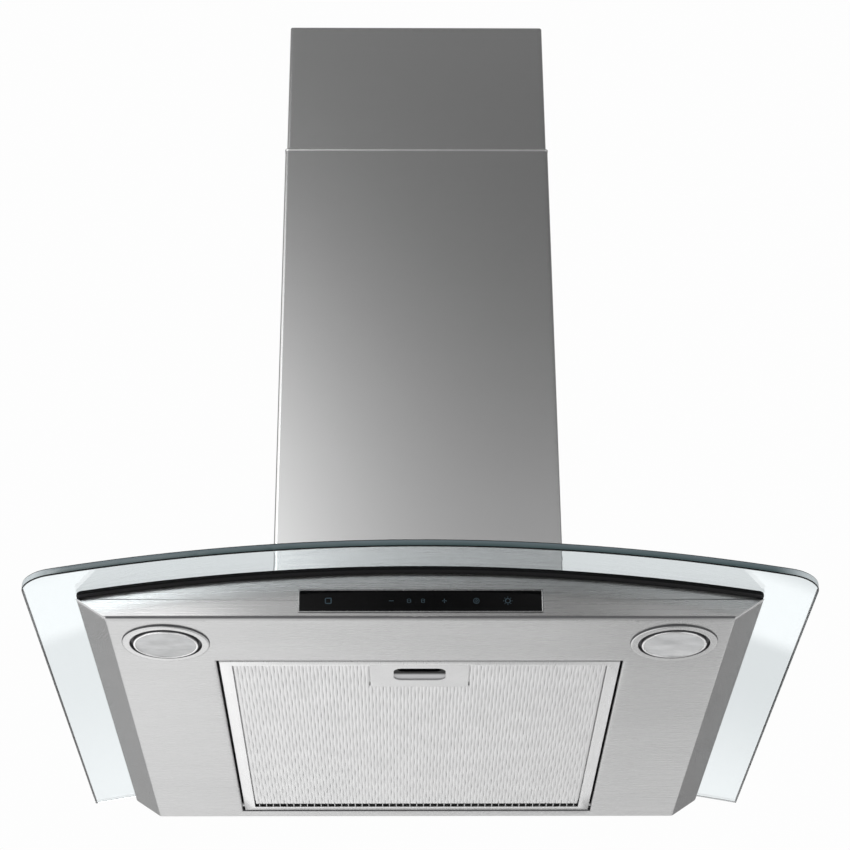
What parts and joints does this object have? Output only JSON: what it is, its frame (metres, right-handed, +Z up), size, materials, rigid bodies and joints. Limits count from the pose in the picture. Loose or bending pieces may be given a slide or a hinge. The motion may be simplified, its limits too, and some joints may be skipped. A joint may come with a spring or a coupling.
{
  "type": "range hood",
  "caption": "Wall range hood with an arched clear glass canopy over a shallow brushed-steel body, a tilting grease filter, round lamps, a touch strip and a telescopic chimney.",
  "frame": {"origin": "on the wall plane, at the middle of the four wall fixing holes in the back of the motor box", "axes": "+Z up, +Y into the wall, front faces -Y, +X to the viewer's right when facing the hood"},
  "size_m": [0.6, 0.5, 0.7316],
  "materials": {
    "clear_glass": "polished, faint green-blue edge",
    "black_rubber": "gloss black",
    "brushed_steel": "fine brushed",
    "chimney_steel": "fine brushed along its width",
    "galvanised_steel": "zinc grey, satin",
    "silver_trim": "polished edge",
    "black_glass": "black gloss",
    "circuit_board": "matt green",
    "black_plastic": "moulded",
    "white_plastic": "moulded",
    "grey_plastic": "moulded",
    "filter_aluminium": "satin",
    "filter_mesh": "expanded mesh",
    "latch_metal": "satin",
    "bright_steel": "plated",
    "brass": "turned",
    "motor_iron": "dark, satin",
    "lamp_trim": "turned",
    "lamp_lens": "frosted",
    "reflector": "bright"
  },
  "bodies": {
    "hood": {"glass_canopy": "clear_glass", "glass_gasket": "black_rubber", "body_tray": "brushed_steel", "front_fascia": "brushed_steel", "body_top_panel": "galvanised_steel", "touch_bezel": "silver_trim", "touch_glass": "black_glass", "touch_board": "circuit_board", "power_box": "black_plastic", "lamp_driver": "white_plastic", "filter_cradles": "galvanised_steel", "motor_box": "galvanised_steel", "motor_box_seal": "black_rubber", "motor_box_lid": "galvanised_steel", "inlet_guard": "black_plastic", "glass_screws": "bright_steel", "glass_bushes": "white_plastic", "glass_nuts": "bright_steel", "motor_stator": "motor_iron", "motor_bearings": "brass", "motor_casing": "motor_iron", "motor_bracket": "galvanised_steel", "motor_grommets": "black_rubber", "run_capacitor": "white_plastic", "terminal_box": "white_plastic", "cable_gland": "black_plastic", "outlet_collar": "black_plastic", "collar_flange": "black_plastic", "flap_pins": "bright_steel", "lower_chimney_cover": "chimney_steel", "lower_cover_screws": "bright_steel", "chimney_bracket": "galvanised_steel", "lamp_boards": "circuit_board", "volute_left": "grey_plastic", "lamp_bezel_left": "lamp_trim", "lamp_rim_left": "lamp_trim", "lamp_lens_left": "lamp_lens", "lamp_reflector_left": "reflector", "lamp_can_left": "lamp_trim", "volute_right": "grey_plastic", "lamp_bezel_right": "lamp_trim", "lamp_rim_right": "lamp_trim", "lamp_lens_right": "lamp_lens", "lamp_reflector_right": "reflector", "lamp_can_right": "lamp_trim"},
    "upper_cover": {"upper_chimney_cover": "chimney_steel"},
    "impeller": {"impeller_wheel": "black_plastic", "impeller_hub": "brass", "motor_shaft": "bright_steel", "motor_rotor": "motor_iron"},
    "grease_filter": {"filter_frame": "filter_aluminium", "filter_mesh": "filter_mesh", "filter_core": "filter_mesh", "filter_pivot_pins": "bright_steel", "latch_plate": "filter_aluminium", "latch_housing": "black_plastic", "latch_springs": "bright_steel"},
    "filter_latch": {"latch_slider": "latch_metal"},
    "front_damper": {"front_flap": "black_plastic"},
    "rear_damper": {"rear_flap": "black_plastic"}
  },
  "joints": [
    {"name": "upper_cover_slide", "type": "slide", "parent": "hood", "child": "upper_cover", "axis": [0, 0, 1], "range_m": [-0.14, 0.2]},
    {"name": "impeller_spin", "type": "hinge", "parent": "hood", "child": "impeller", "pos_m": [0, -0.098, -0.04], "axis": [1, 0, 0], "continuous": true},
    {"name": "filter_tilt", "type": "hinge", "parent": "hood", "child": "grease_filter", "pos_m": [0, -0.0215, -0.1855], "axis": [1, 0, 0], "range_deg": [0, 75]},
    {"name": "latch_slide", "type": "slide", "parent": "grease_filter", "child": "filter_latch", "axis": [0, 1, 0], "range_m": [0, 0.007], "stiffness_N_per_m": 600, "springref_m": -0.005, "deforming": ["latch_springs"]},
    {"name": "front_flap_hinge", "type": "hinge", "parent": "hood", "child": "front_damper", "pos_m": [0, -0.151, 0.0912], "axis": [-1, 0, 0], "range_deg": [0, 80]},
    {"name": "rear_flap_hinge", "type": "hinge", "parent": "hood", "child": "rear_damper", "pos_m": [0, -0.143, 0.0912], "axis": [1, 0, 0], "range_deg": [0, 80]}
  ]
}
